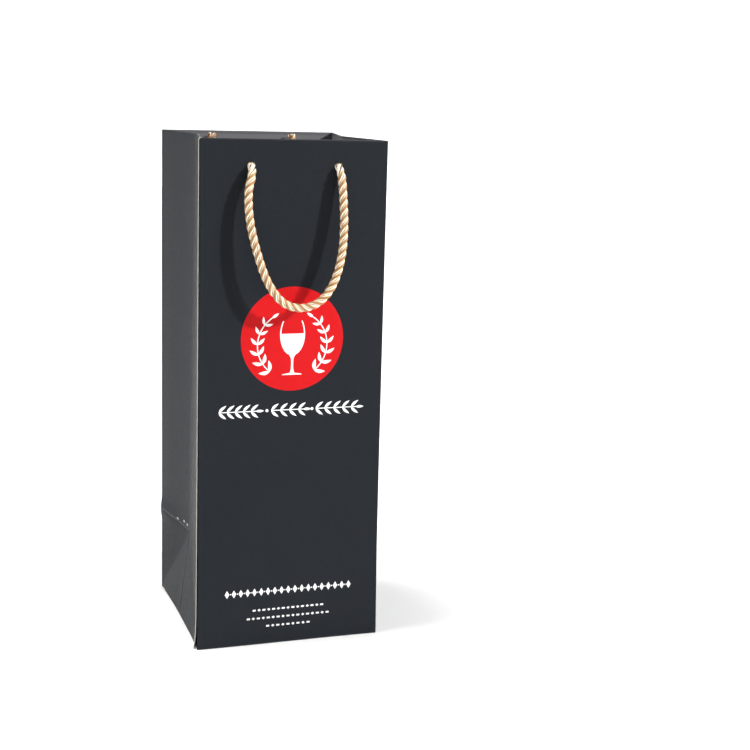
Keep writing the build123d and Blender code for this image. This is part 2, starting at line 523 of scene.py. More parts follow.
# how far a gusset stands in: below the creases' height the smaller of two slopes that meet on
# the diagonal, above it one slope to the middle crease, which deepens to the rim
def foldIn(y, z, rear):
    half = halfD
    toMiddle = 1 - np.sqrt((np.abs(y) / half) ** 2 + sheet["middleRound"] ** 2)
    toMiddle = np.clip(toMiddle + 0.4 * sheet["middleRound"] * np.abs(y) / half, 0, 1)
    deep = sheet["apexIn"] + (rimFoldIn - sheet["apexIn"]) * np.clip((z - half) / (bagHeight - half), 0, 1)
    upper = deep * toMiddle
    lower = sheet["apexIn"] * np.clip(smoothMin(toMiddle, z / half, 0.02), 0, 1)
    share = smoothStep(half - 1.5 * mm, half + 1.5 * mm, z)
    stands = lower * (1 - share) + upper * share
    # the fold across the rear halves leaves their outer edge standing out a little
    kink = rear * sheet["kinkOut"] * np.exp(-(((z - half) / sheet["kinkHigh"]) ** 2))
    kink = kink * smoothStep(0.3, 1.0, np.abs(y) / half)
    # pressed lines: across the rear halves, and up the middle below the creases' height
    pressed = rear * sheet["pressedAcross"] * np.clip(1 - np.abs(z - half) / sheet["cell"], 0, 1)
    middle = sheet["pressedMiddle"] * np.clip(1 - np.abs(y) / sheet["cell"], 0, 1)
    pressed = pressed + middle * smoothStep(half, half - 4 * mm, z)
    return stands - kink + pressed * smoothStep(1.0, 0.9, np.abs(y) / half) * smoothStep(0, 6 * mm, z)


# how far the front and rear stand back, since the folded gussets are shorter across
def lean(z):
    upper = sheet["apexIn"] + (rimFoldIn - sheet["apexIn"]) * (z - halfD) / (bagHeight - halfD)
    deep = np.where(z < halfD, sheet["apexIn"] * z / halfD, upper)
    return halfD - np.sqrt(halfD**2 - np.clip(deep, 0, None) ** 2)


stance = {
    "rearLeft": 1.3 * mm,  # out at the rear left edge, all the way up
    "frontLeft": (0.9 * mm, 60 * mm),  # out at the base, and the height over which it fades
    "frontRight": (1.2 * mm, 130 * mm),
    "forward": (1.6 * mm, 70 * mm),
    "forwardTilt": 0.5 * mm,  # further forward at the right than at the left
}


# the bag stands a little out of square: its rear left edge leans out, and its base spreads forward
# and to both sides at the front, fading with height
def outOfSquare(x, y, z):
    left, right = np.clip(-x / halfW, 0, 1), np.clip(x / halfW, 0, 1)
    rear, front = smoothStep(0.0, 1.0, y / halfD), np.clip(-y / halfD, 0, 1)
    leftOut, rightOut, forward = [
        stance[name][0] * np.exp(-z / stance[name][1]) for name in ("frontLeft", "frontRight", "forward")
    ]
    x = x - stance["rearLeft"] * rear * left**3
    x = x - leftOut * front**6 * left**6
    x = x + rightOut * front**2 * right**3
    tilt = 1 + stance["forwardTilt"] / stance["forward"][0] * x / halfW
    return x, y - forward * tilt * front**2


# place of a point of the sheet: u is the distance walked from the front left corner past the
# left, rear, right and front sides to the glue tab, z its height, inset how far inside it lies
def sheetPoint(u, z, inset):
    run = np.clip(np.searchsorted(runStarts, u, side="right") - 1, 0, 4)
    share = u - runStarts[run]
    way = runWays[run]
    outward = np.stack([-way[..., 1], way[..., 0]], -1)
    radius = sheet["cornerRadius"]
    x = cornerPoints[run][..., 0] + way[..., 0] * share
    y = cornerPoints[run][..., 1] + way[..., 1] * share
    # the glue tab lies one paper's thickness inside the gusset that covers it
    tab = (sheet["seamGap"] + paperThick) * smoothStep(-radius, radius, u - runStarts[4])
    nearest = np.argmin(np.abs(u[..., None] - runStarts[1:5]), -1)
    past = u - runStarts[1:5][nearest]
    inArc = np.abs(past) < radius
    corner = cornerPoints[1:][nearest]
    ways = runWays[nearest], runWays[np.clip(nearest + 1, 0, 4)]
    normals = [np.stack([-w[..., 1], w[..., 0]], -1) for w in ways]
    angle = (past / radius + 1) * math.pi / 4
    fan = np.cos(angle)[..., None] * normals[0] + np.sin(angle)[..., None] * normals[1]
    centre = corner - radius * (normals[0] + normals[1])
    arc = centre + np.maximum(radius - inset, 0.12 * mm)[..., None] * fan
    flat = np.stack([x, y], -1) - inset[..., None] * outward
    plan = np.where(inArc[..., None], arc, flat)
    x, y = plan[..., 0] + tab, plan[..., 1]
    onGusset = (run == 0) | (run == 2) | (run == 4)
    side = np.where(run == 2, 1.0, -1.0)
    stands = foldIn(y, z, (y > 0).astype(float))
    x = np.where(onGusset & ~inArc, x - side * stands, x)
    # the cut edge springs away from the tab, most of all at the foot
    back = np.clip(u - sheet["seamBack"], 0, None)
    lift = sheet["seamLift"] * np.exp(-back / sheet["seamFade"])
    lift = lift + sheet["footLift"] * np.exp(-back / sheet["footFade"]) * np.exp(-z / sheet["footHigh"])
    x = np.where(run == 0, x - lift * np.clip(1 - inset / (0.9 * mm), 0, 1), x)
    return outOfSquare(x, y, z)


waves = {"broad": 0.35 * mm, "slanted": 0.25 * mm, "rear": 0.4 * mm, "kink": 0.9 * mm, "kinkHigh": 9 * mm}


# slow unevenness of the front and rear panels, a fraction of a millimetre, and their lean
def addWaves(x, y, z):
    onPanel = smoothStep(halfD - 3 * mm, halfD - 1 * mm, np.abs(y)) * (1 - (np.abs(x) / halfW) ** 4)
    front = waves["broad"] * np.sin(x * 34 + 0.6) * np.sin(z * 13 + 0.4)
    front = front + waves["slanted"] * np.sin(z * 21 + x * 17)
    rear = waves["rear"] * np.sin(x * 29 + 2.0) * np.sin(z * 15 + 1.1)
    kink = waves["kink"] * np.exp(-(((z - halfD) / waves["kinkHigh"]) ** 2))
    y = y * (1 - lean(z) / halfD)
    return y + onPanel * np.where(y < 0, front, rear + kink)


# values from low up to but not including high, evenly near a step apart
def spaced(low, high, step):
    return np.linspace(low, high, max(1, int(round((high - low) / step))), endpoint=False)


def holeLines(middle):
    reach = sheet["holeCells"]
    return middle + sheet["holeCell"] * np.arange(-reach, reach + 1)


# columns across a front or rear panel, fine round its two rope holes
def panelLines(start):
    reach = sheet["holeCell"] * sheet["holeCells"]
    first, second = start + halfW - holeAcross, start + halfW + holeAcross
    return np.concatenate([
        spaced(start + 2.5 * mm, first - reach, 6 * mm),
        holeLines(first),
        spaced(first + reach, second - reach, 6 * mm)[1:],
        holeLines(second),
        spaced(second + reach, start + bagWidth - 2.4 * mm, 6 * mm)[1:],
        [start + bagWidth - 2.5 * mm],
    ])


def cornerLines(middle):
    radius = sheet["cornerRadius"]
    return middle + radius * np.array([-1.7, -1, -0.6, -0.2, 0.2, 0.6, 1, 1.7])


def sheetColumns():
    cell = sheet["cell"]
    cutEdge = sheet["seamBack"] + mm * np.array([0, 0.35, 0.75, 1.2, 1.8])
    left = np.concatenate([cutEdge, np.arange(4, 95) * cell])
    right = runStarts[2] + np.arange(2, 95) * cell
    tab = runStarts[4] + np.concatenate([[2 * mm], np.arange(2, 11) * cell, [sheet["tabWidth"]]])
    columns = np.concatenate([
        left, cornerLines(runStarts[1]), panelLines(runStarts[1]), cornerLines(runStarts[2]),
        right, cornerLines(runStarts[3]), panelLines(runStarts[3]), cornerLines(runStarts[4]), tab,
    ])
    return np.sort(columns)


# how far each column is from its nearest corner, and whether it is on the front or rear panel
def columnPlace(u):
    toCorner = np.min(np.abs(u[:, None] - runStarts[:5]), 1)
    onRear, onFront = [(u > runStarts[run]) & (u < runStarts[run + 1]) for run in (1, 3)]
    return toCorner, onRear | onFront


# thickness of the folded rim: card and two papers at the panels, two papers at the gussets,
# four where the glue tab is folded in too
def rimThickness(u):
    toCorner, onPanel = columnPlace(u)
    thin, tabEnd = sheet["gussetRim"], sheet["tabWidth"]
    panel = thin + (sheet["panelRim"] - thin) * smoothStep(0.9 * mm, 3 * mm, toCorner)
    overTab = sheet["tabRim"] * smoothStep(tabEnd + 4 * mm, tabEnd + 1 * mm, u) * (u < runStarts[1])
    return np.where(onPanel, panel, thin + overTab)


# row kinds and values: 0 the fold under the base, 1 the wall, 2 the fold at the rim, 3 the turn-in
def sheetRows():
    cell, reach = sheet["cell"], sheet["holeCell"] * sheet["holeCells"]
    wall = np.concatenate([
        cell * np.arange(2, 55),
        spaced(cell * 55, swingHeight - reach, 8 * mm),
        holeLines(swingHeight),
        spaced(swingHeight + reach, bagHeight - 2 * mm, 2.2 * mm)[1:],
        [bagHeight - 2 * mm],
    ])
    turnIn = np.concatenate([
        [bagHeight - 2 * mm],
        spaced(bagHeight - 4 * mm, swingHeight + reach, 2.2 * mm),
        holeLines(swingHeight)[::-1],
        spaced(swingHeight - reach, bagHeight - sheet["hemDepth"], 4 * mm)[1:],
        [bagHeight - sheet["hemDepth"]],
    ])
    bands = (np.linspace(1, 0, 6), wall, np.linspace(0, 1, 9), turnIn)
    kinds = np.concatenate([np.full(len(band), kind) for kind, band in enumerate(bands)])
    return kinds, np.concatenate(bands)


# draws the square of cells round each hole onto circles: the share of its size that a cell's ring
# has over its distance, full inside and fading outwards; says which points lie inside
def roundHoles(u, z, middles, able):
    cell, reach, inner = sheet["holeCell"], sheet["holeCells"], 4
    removed = np.zeros(u.shape, bool)
    for middle in middles:
        across, up = (u - middle) / cell, (z - swingHeight) / cell
        ring = np.maximum(np.abs(across), np.abs(up))
        near = (ring < reach + 0.01) & able
        size = np.maximum(np.hypot(across, up), 1e-9)
        share = np.clip((ring - inner) / (reach - inner), 0, 1)
        moved = share + (1 - share) * ring / size
        u = np.where(near, middle + across * moved * cell, u)
        z = np.where(near, swingHeight + up * moved * cell, z)
        removed |= near & (ring < inner - 0.5)
    return u, z, removed


# the fold under a gusset lies on the flaps' edges, so it stands a little higher than the front's
def baseRise(u):
    toCorner, onPanel = columnPlace(u)
    return np.where(onPanel, 0, sheet["gussetRise"] * smoothStep(0.5 * mm, 6 * mm, toCorner))


def makeSheet():
    columns = sheetColumns()
    kinds, values = sheetRows()
    u = np.broadcast_to(columns, (len(values), len(columns))).copy()
    value = np.broadcast_to(values[:, None], u.shape)
    kind = np.broadcast_to(kinds[:, None], u.shape)
    thick = np.broadcast_to(rimThickness(columns), u.shape)
    rise = np.broadcast_to(baseRise(columns), u.shape)
    angle = value * math.pi
    bend = sheet["baseRadius"]
    z = np.select(
        [kind == 0, kind == 2],
        [rise + bend * (1 - np.sin(value * math.pi / 2)), bagHeight - thick / 2 + thick / 2 * np.sin(angle)],
        value,
    )
    inset = np.select(
        [kind == 0, kind == 1, kind == 2],
        [bend * (1 - np.cos(value * math.pi / 2)), 0 * value, thick / 2 * (1 - np.cos(angle))],
        thick,
    )
    panelMiddles = (runStarts[1] + halfW, runStarts[3] + halfW)
    middles = [middle + side * holeAcross for middle in panelMiddles for side in (-1, 1)]
    u, z, removed = roundHoles(u, z, middles, (kind == 1) | (kind == 3))
    x, y = sheetPoint(u, z, inset)
    y = addWaves(x, y, z)
    points = np.stack([x, y, z], -1)
    faces = gridFaces(len(values), len(columns))[:, ::-1]
    # turn quads on the rear halves so that they split along the diagonal crease
    corner = u.ravel()[faces].mean(1)
    rearLeft = (corner > halfD) & (corner < runStarts[1])
    frontRight = (corner > runStarts[2] + halfD) & (corner < runStarts[3])
    rolled = np.roll(faces, 1, axis=1)
    faces = np.where((rearLeft | frontRight)[:, None], rolled, faces)
    keep = ~removed.ravel()[faces].any(1)
    flatV = np.select([kind == 2, kind == 3], [bagHeight + value * thick, 2 * bagHeight - z], z)
    uvs = np.stack([u, flatV], -1)
    made = meshFrom("paper_sheet", points, faces[keep], uvs)
    thicken(made, paperThick, layers=True)
    # nothing of it lies lower than what the bag stands on
    places = np.zeros(len(made.data.vertices) * 3)
    made.data.vertices.foreach_get("co", places)
    places[2::3] = np.maximum(places[2::3], 0.0)
    made.data.vertices.foreach_set("co", places)
    return made


print("paper sheet")
paperSheet = makeSheet()


# a point of the front (end -1) or rear (end 1) side of the bag, inset from its outer face
def panelPoint(end, x, z, inset):
    u = runStarts[3] + halfW - x if end < 0 else runStarts[1] + halfW + x
    px, py = sheetPoint(u, z, inset)
    return np.stack([px, addWaves(px, py, z), z], -1)


cards = {"sideGap": 3.5 * mm, "height": 35.4 * mm, "thickness": 0.98 * mm, "topBelowRim": 0.95 * mm}


# a card is a grid over width and height on the inside of its panel, pierced for the rope
def makeCard(name, end):
    reach = sheet["holeCell"] * sheet["holeCells"]
    side = halfW - paperThick - cards["sideGap"]
    high = bagHeight - cards["topBelowRim"]
    low = high - cards["height"]
    columns = np.concatenate([
        spaced(-side, -holeAcross - reach, 5 * mm), holeLines(-holeAcross),
        spaced(-holeAcross + reach, holeAcross - reach, 5 * mm)[1:], holeLines(holeAcross),
        spaced(holeAcross + reach, side, 5 * mm)[1:], [side],
    ])
    rows = np.concatenate([
        spaced(low, swingHeight - reach, 5 * mm), holeLines(swingHeight),
        spaced(swingHeight + reach, high, 3 * mm)[1:], [high],
    ])
    x, z = np.meshgrid(columns, rows)
    x, z, removed = roundHoles(x, z, (-holeAcross, holeAcross), True)
    points = panelPoint(end, x, z, np.full(x.shape, paperThick + 0.02 * mm))
    faces = gridFaces(*x.shape)
    if end > 0:
        faces = faces[:, ::-1]
    made = meshFrom(name, points, faces[~removed.ravel()[faces].any(1)])
    thicken(made, cards["thickness"])
    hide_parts(name.replace("_card_board", "_reinforcement_card"))
    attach(made, "bag")
    return made


flaps = {
    "start": 0.7 * mm,  # where the fold under the wall ends
    "pastMiddle": 15 * mm,
    "sideDepth": 50 * mm,
    "sideShort": 1.5 * mm,  # each end of a side flap to the walls
    "taper": 2.5 * mm,  # narrower at the free edge
    "sag": 0.06 * mm,
    "rearHeight": 0.43 * mm,  # height of the rear flap where it lies on the front one
    "sideHeight": 0.84 * mm,  # height of the side flaps, which lie on both
    "wedge": 2.6 * mm,  # the rear flap's left corner shows past the fold by this much
}


# a flap is a grid of shares across and along, its width narrowing along and its height stepping
# up over the flap below it; its film faces down
def makeFlap(name, corners, height, flip, wedge=0.0):
    across, along = np.meshgrid(np.linspace(0, 1, 61), np.linspace(0, 1, 41))
    near = corners[0] + (corners[1] - corners[0]) * across[..., None]
    far = corners[2] + (corners[3] - corners[2]) * across[..., None]
    plan = near + (far - near) * along[..., None]
    wave = 1 + np.sin(plan[..., 0] * 70 + 1) * np.sin(plan[..., 1] * 60)
    wave = flaps["sag"] * wave * smoothStep(0, 0.2, along)
    z = height(plan[..., 1]) + wave * 0.5
    plan[..., 0] -= wedge * (1 - across) ** 12 * np.exp(-along * 5.5)
    plan = np.stack(outOfSquare(plan[..., 0], plan[..., 1], z), -1)
    faces = gridFaces(*across.shape)
    made = meshFrom(name, np.concatenate([plan, z[..., None]], -1), faces[:, ::-1] if flip else faces, plan)
    thicken(made, paperThick, layers=True)
    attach(made, "bag")
    return made


def makeFlaps():
    half, edge = halfW - 0.25 * mm, halfD - flaps["start"]
    free = half - flaps["taper"]
    made = []
    for name, end, rise, wedge in (
        ("front_bottom_flap", -1, 0.0, 0.0),
        ("rear_bottom_flap", 1, flaps["rearHeight"], flaps["wedge"]),
    ):
        tip = -end * flaps["pastMiddle"]
        corners = np.array([(-half, end * edge), (half, end * edge), (-free, tip), (free, tip)])
        made.append(makeFlap(
            name + "_paper", corners, lambda y: rise * smoothStep(26 * mm, 16 * mm, y), end < 0, wedge
        ))
        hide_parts(name)
    out, deep = halfW - flaps["start"], halfW - flaps["sideDepth"]
    fixed, tip = edge - flaps["sideShort"], edge * deep / out
    for name, side in (("left_bottom_flap", -1), ("right_bottom_flap", 1)):
        corners = np.array([(out, -fixed), (out, fixed), (deep, -tip), (deep, tip)]) * (side, 1)
        made.append(makeFlap(name + "_paper", corners, lambda y: 0 * y + flaps["sideHeight"], side > 0))
        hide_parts(name)
    return made


ink = {
    "redProud": 0.05 * mm,  # how far each print stands off the film
    "whiteProud": 0.09 * mm,
    "depth": 0.04 * mm,
    "discHeight": 210.6 * mm,
    "discRadius": 34.7 * mm,
    "glass": (-24 * mm, 36 * mm),  # foot to the disc's middle, and height
    "sprig": (23.6 * mm, -4 * mm, 22 * mm),  # across and up from the disc's middle, and radius
    "sprigLeaf": 7.6 * mm,
    "garlandHeight": 163 * mm,
    "garlands": [(-35.0 * mm, 28 * mm, 5), (-1.2 * mm, 25 * mm, 4), (32.4 * mm, 31 * mm, 5)],
    "garlandLeaf": 6.8 * mm,
    "dots": (-16.6 * mm, 14.3 * mm),
    "borderHeight": 37.4 * mm,
    "borderHalf": 42.6 * mm,
    "lines": [(24.5 * mm, 25 * mm, 15), (18.7 * mm, 29 * mm, 17), (12.8 * mm, 15.5 * mm, 9)],
}


# a round patch: rings from nothing to the radius
def dotShape(x, z, radius, rings=3, around=20):
    angle, share = np.meshgrid(np.linspace(0, 2 * math.pi, around + 1), np.linspace(0, 1, rings + 1))
    return np.stack([x + radius * share * np.cos(angle), z + radius * share * np.sin(angle)], -1)


# a patch between a lower and an upper edge, each given as (x, z) points
def bandShape(lower, upper, rows=3):
    share = np.linspace(0, 1, rows)[:, None, None]
    return np.asarray(lower)[None] * (1 - share) + np.asarray(upper)[None] * share


# a lozenge: a square turned by an eighth and stretched
def lozengeShape(x, z, wide, tall):
    a, b = np.meshgrid(np.linspace(-0.5, 0.5, 4), np.linspace(-0.5, 0.5, 4))
    return np.stack([x + (a - b) * wide / 2, z + (a + b) * tall / 2], -1)


def ruleShape(x, z, wide, tall):
    xs = np.linspace(x - wide / 2, x + wide / 2, max(2, int(wide / (5 * mm)) + 1))
    flat = np.full_like(xs, z)
    return bandShape(np.stack([xs, flat - tall / 2], -1), np.stack([xs, flat + tall / 2], -1), 2)


# a leaf from a point, in a direction: its half width rises and falls as a sine of its length
def leafShape(x, z, angle, long, wide, bow=0.0):
    t = np.linspace(0, 1, 12)
    half = 0.5 * wide * np.sin(math.pi * t**0.85) ** 0.9
    sweep = bow * long * np.sin(math.pi * t)
    across = np.linspace(-1, 1, 5)[:, None]
    along, side = np.broadcast_arrays(t * long, across * half + sweep)
    px = x + along * math.cos(angle) - side * math.sin(angle)
    pz = z + along * math.sin(angle) + side * math.cos(angle)
    return np.stack([px, pz], -1)


# a stem: a ribbon of even width along an arc of a circle
def arcShape(x, z, radius, first, last, wide, count=24):
    angle = np.linspace(first, last, count)
    inner = np.stack([x + (radius - wide / 2) * np.cos(angle), z + (radius - wide / 2) * np.sin(angle)], -1)
    outer = np.stack([x + (radius + wide / 2) * np.cos(angle), z + (radius + wide / 2) * np.sin(angle)], -1)
    return bandShape(inner, outer, 2)


# patches laid on the front as one thin solid: the upper skin just proud of the film, a lower skin
# behind it, and a wall round each patch
def printPatches(name, patches, proud):
    parts = []
    for patch in patches:
        x, z = patch[..., 0].ravel(), patch[..., 1].ravel()
        upper = panelPoint(-1, x, z, np.full(x.shape, -proud))
        faces = gridFaces(*patch.shape[:2])
        corners = upper[faces[len(faces) // 2]]
        if np.cross(corners[1] - corners[0], corners[2] - corners[0])[1] > 0:
            faces = faces[:, ::-1]
        parts.append((upper, faces))
    points, faces = joined(parts)
    made = meshFrom(name, points, faces)
    mergeDoubles(made, 2e-6)
    thicken(made, ink["depth"])
    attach(made, "bag")
    return made


# a stemmed glass: mirrored half widths at rising heights, the bowl left open above the wine
def glassPatches(x, z, tall):
    def between(heights, inner, outer):
        h = np.asarray(heights) * tall + z
        patches = []
        for sign in (-1, 1):
            a = np.stack([x + sign * np.asarray(inner) * tall, h], -1)
            b = np.stack([x + sign * np.asarray(outer) * tall, h], -1)
            patches.append(bandShape(a, b, 3))
        return patches

    t = np.linspace(0, 1, 14)
    foot = between(0.035 * t, 0 * t, 0.19 * (1 - 0.75 * t**2))
    stem = between(0.03 + 0.35 * t, 0 * t, 0.018 + 0.03 * (1 - t) ** 6 + 0.05 * t**8)
    rise = np.linspace(0, 1, 20)
    bowlHalf = 0.235 * np.sqrt(np.clip(1 - (1 - rise / 0.62) ** 2, 0, 1))
    bowlHalf = np.where(rise > 0.62, 0.235 - 0.05 * ((rise - 0.62) / 0.38) ** 2, bowlHalf)
    heights = 0.36 + 0.64 * rise
    wine = rise <= 0.64
    filled = between(heights[wine], 0 * heights[wine], bowlHalf[wine])
    wall = between(heights[~wine], bowlHalf[~wine] - 0.022, bowlHalf[~wine])
    last = np.flatnonzero(wine)[-1]
    meet = slice(last, last + 2)
    joint = between(heights[meet], bowlHalf[meet] - 0.022, bowlHalf[meet])
    return foot + stem + filled + wall + joint


# a sprig: pairs of leaves along an arc that bows outwards, side -1 or 1
def sprigPatches(x, z, side, radius, leaves, long):
    first, last = math.radians(-52), math.radians(56)
    centre = x - side * radius
    angles = np.linspace(first, last, leaves + 1)
    patches = []
    for index, angle in enumerate(angles):
        px = centre + side * radius * math.cos(angle)
        pz = z + radius * math.sin(angle)
        along = math.pi / 2 + angle if side > 0 else math.pi / 2 - angle
        size = long * (1 - 0.3 * index / leaves)
        if index == leaves:
            patches.append(leafShape(px, pz, along, size, size * 0.36))
            break
        for tilt in (-0.8, 0.8):
            patches.append(leafShape(px, pz, along + tilt, size, size * 0.32, 0.06 * np.sign(tilt)))
    arc = (first, last) if side > 0 else (math.pi - first, math.pi - last)
    patches.append(arcShape(centre, z, radius, *arc, 0.7 * mm))
    return patches


# a garland: a straight stem with leaves leaning from it on both sides
def garlandPatches(x, z, wide, pairs, long):
    patches = [ruleShape(x, z, wide, 0.6 * mm)]
    for place in np.linspace(x - wide / 2, x + wide / 2 - long * 0.95, pairs):
        for tilt in (-0.72, 0.72):
            patches.append(leafShape(place, z, tilt, long, long * 0.27, 0.05 * np.sign(tilt)))
    patches.append(leafShape(x + wide / 2 - long * 0.45, z, 0, long * 0.8, long * 0.27))
    return patches


def makePrint():
    middle = ink["discHeight"]
    discShape = dotShape(0, middle, ink["discRadius"], 14, 160)
    disc = printPatches("printed_disc", [discShape], ink["redProud"])
    foot, tall = ink["glass"]
    motif = glassPatches(0, middle + foot, tall)
    across, up, radius = ink["sprig"]
    for side in (-1, 1):
        motif += sprigPatches(side * across, middle + up, side, radius, 6, ink["sprigLeaf"])
    motifPiece = printPatches("printed_glass_and_sprigs", motif, ink["whiteProud"])
    row = []
    z = ink["garlandHeight"]
    for x, wide, pairs in ink["garlands"]:
        row += garlandPatches(x, z, wide, pairs, ink["garlandLeaf"])
    row += [dotShape(x, z, 1.0 * mm) for x in ink["dots"]]
    z, half = ink["borderHeight"], ink["borderHalf"]
    row += [lozengeShape(x, z, 3.1 * mm, 5.4 * mm) for x in np.linspace(-half, half, 19)]
    half -= 2.4 * mm
    row += [dotShape(x, z, 0.45 * mm, 2, 12) for x in np.linspace(-half, half, 18)]
    for z, half, count in ink["lines"]:
        places = np.linspace(-half + 1.2 * mm, half - 1.2 * mm, count)
        row += [ruleShape(x, z, 2.1 * mm, 1.15 * mm) for x in places[::2]]
        row += [lozengeShape(x, z, 2.2 * mm, 1.9 * mm) for x in places[1::2]]
    rows = printPatches("printed_borders", row, ink["whiteProud"])
    return disc, [motifPiece, rows]


print("cards, flaps and print")
cardPieces = [makeCard("front_card_board", -1), makeCard("rear_card_board", 1)]
flapPieces = makeFlaps()
discPiece, whitePieces = makePrint()


studio = {
    "world": 0.27,
    "key": (3.6, (0.76, -0.56, 0.46), 2.5),  # strength, where it comes from, how wide in degrees
    "over": (3.0, (-0.36, 0.10, 1.0), 24),
    "lamp": ((0.42, -0.36, 0.57), 0.10, 1.0),  # place, width, power
    "lampAt": (0.04, -0.06, 0.30),
    "floor": 30,  # half the floor's width
    "behind": 4.2,  # backdrop's distance, height and bend
    "wall": 2.4,
    "bend": 0.8,
}


# a light that shines from the way given
def addLight(name, kind, strength, way):
    data = bpy.data.lights.new(name, kind)
    data.energy = strength
    light = bpy.data.objects.new(name, data)
    flat = math.hypot(way[0], way[1])
    light.rotation_euler = (math.atan2(flat, way[2]), 0, math.atan2(way[0], -way[1]))
    bpy.context.scene.collection.objects.link(light)
    return light


# a pale floor, and behind it a backdrop: a strip that curves up from the floor, drawn out sideways
def makeStage():
    bend = studio["bend"]
    corners = np.array([(-1, -1, 0), (1, -1, 0), (1, 1, 0), (-1, 1, 0)]) * studio["floor"]
    floor = meshFrom("floor", corners, [(0, 1, 2, 3)])
    arc = np.linspace(0, math.pi / 2, 12)
    back = np.concatenate([studio["behind"] - bend + bend * np.sin(arc), [studio["behind"]]])
    up = np.concatenate([0.001 + bend - bend * np.cos(arc), [studio["wall"]]])
    side = np.linspace(-12, 12, 9)
    points = np.stack(np.broadcast_arrays(side[None, :], back[:, None], up[:, None]), -1)
    backdrop = meshFrom("backdrop", points, gridFaces(len(back), len(side)))
    shader = Shader("pale_floor")
    pale = shader.finish((0.93, 0.93, 0.93), 0.8)
    for made in (floor, backdrop):
        made.data.materials.append(pale)
    world = bpy.data.worlds.new("studio")
    world.use_nodes = True
    world.node_tree.nodes["Background"].inputs[0].default_value = (1, 1, 1, 1)
    world.node_tree.nodes["Background"].inputs[1].default_value = studio["world"]
    bpy.context.scene.world = world
    for name in ("key", "over"):
        strength, way, wide = studio[name]
        addLight(name, "SUN", strength, way).data.angle = math.radians(wide)
    place, wide, power = studio["lamp"]
    lamp = addLight("lamp", "AREA", power, np.array(place) - studio["lampAt"])
    lamp.location = place
    lamp.data.size = wide


print("stage and light")
makeStage()
bpy.context.scene.view_settings.view_transform = "Standard"


filmLook = {
    "deep": (0.0112, 0.0134, 0.0168),
    "light": (0.0144, 0.0166, 0.0202),
    # the turn-in is the same dark film; this paler colour is a painted reflection
    "turnIn": (0.175, 0.171, 0.184),
    "grain": (0.034, 0.038, 0.045),
    # white of worn film, also painting the faint highlight along the rim and foot folds
    "worn": (0.66, 0.65, 0.61),
    "gloss": 0.045,
}


# matt film over dark ink: fine grain, slow clouding, paler on the turn-in as a painted reflection, white
# where creases and cut edges are worn, with a faint painted highlight along the rim and foot folds
def laminatedFilm():
    shader = Shader("laminated_paper")
    place = shader.place()
    u, v = shader.split(shader.uv())[:2]
    grain = shader.noise(place, 2200, 2)
    fine = shader.noise(place, 420, 3)
    cloudy = shader.noise(place, 11, 3)
    colour = shader.mix(cloudy, filmLook["deep"], filmLook["light"])
    # painted reflection: the rim fold and the turn-in take the paler colour
    turned = shader.range(v, bagHeight + 0.4 * mm, bagHeight + 2.5 * mm, 0.0, 1.0)
    colour = shader.mix(turned, colour, filmLook["turnIn"])
    colour = shader.mix(shader.range(grain, 0.35, 0.75, 0.0, 0.22), colour, filmLook["grain"])
    # worn creases, flecks and cut edge, and the painted fold highlights at the rim and foot
    colour = shader.mix(wearAndFoldHighlightMask(shader, u, v), colour, filmLook["worn"])
    roughness = shader.range(fine, 0.3, 0.7, 0.36, 0.44)
    normal = shader.bump(grain, 0.10, 0.00008)
    normal = shader.bump(cloudy, 0.25, 0.0006, normal)
    return shader.finish(colour, roughness, normal, **{"Specular IOR Level": filmLook["gloss"]})


# a line of given half width about a value: full in the middle, nothing at its edges
def lineMask(shader, value, middle, half):
    away = shader.math("ABSOLUTE", shader.math("SUBTRACT", value, middle))
    return shader.range(away, 0.0, half, 1.0, 0.0)


# an oval fleck about a point of the sheet
def fleckMask(shader, u, v, middle, size):
    across = shader.math("DIVIDE", shader.math("SUBTRACT", u, middle[0]), size[0])
    up = shader.math("DIVIDE", shader.math("SUBTRACT", v, middle[1]), size[1])
    away = shader.math("SQRT", shader.plus(shader.times(across, across), shader.times(up, up)))
    return shader.range(away, 0.45, 1.0, 1.0, 0.0)


# where the film is worn white, and how much, with a faint painted highlight along the rim and foot folds:
# flecks by place and half size along the sheet, in metres
wearAndFoldHighlight = {
    "flecks": [
        ((0.0895, 0.0642), (0.0026, 0.0009)),
        ((0.0762, 0.0660), (0.0022, 0.0011)),
        ((0.0692, 0.0656), (0.0019, 0.0012)),
    ],
    "fleck": 0.8,
    "across": 0.20,
    "diagonal": 0.05,
    "cut": 0.9,
    # a faint pale line along the rim fold and the fold at the foot, a painted highlight of the folds as well
    # as wear
    "rim": 0.03,
    "crease": 0.5 * mm,  # half width of a worn crease
}


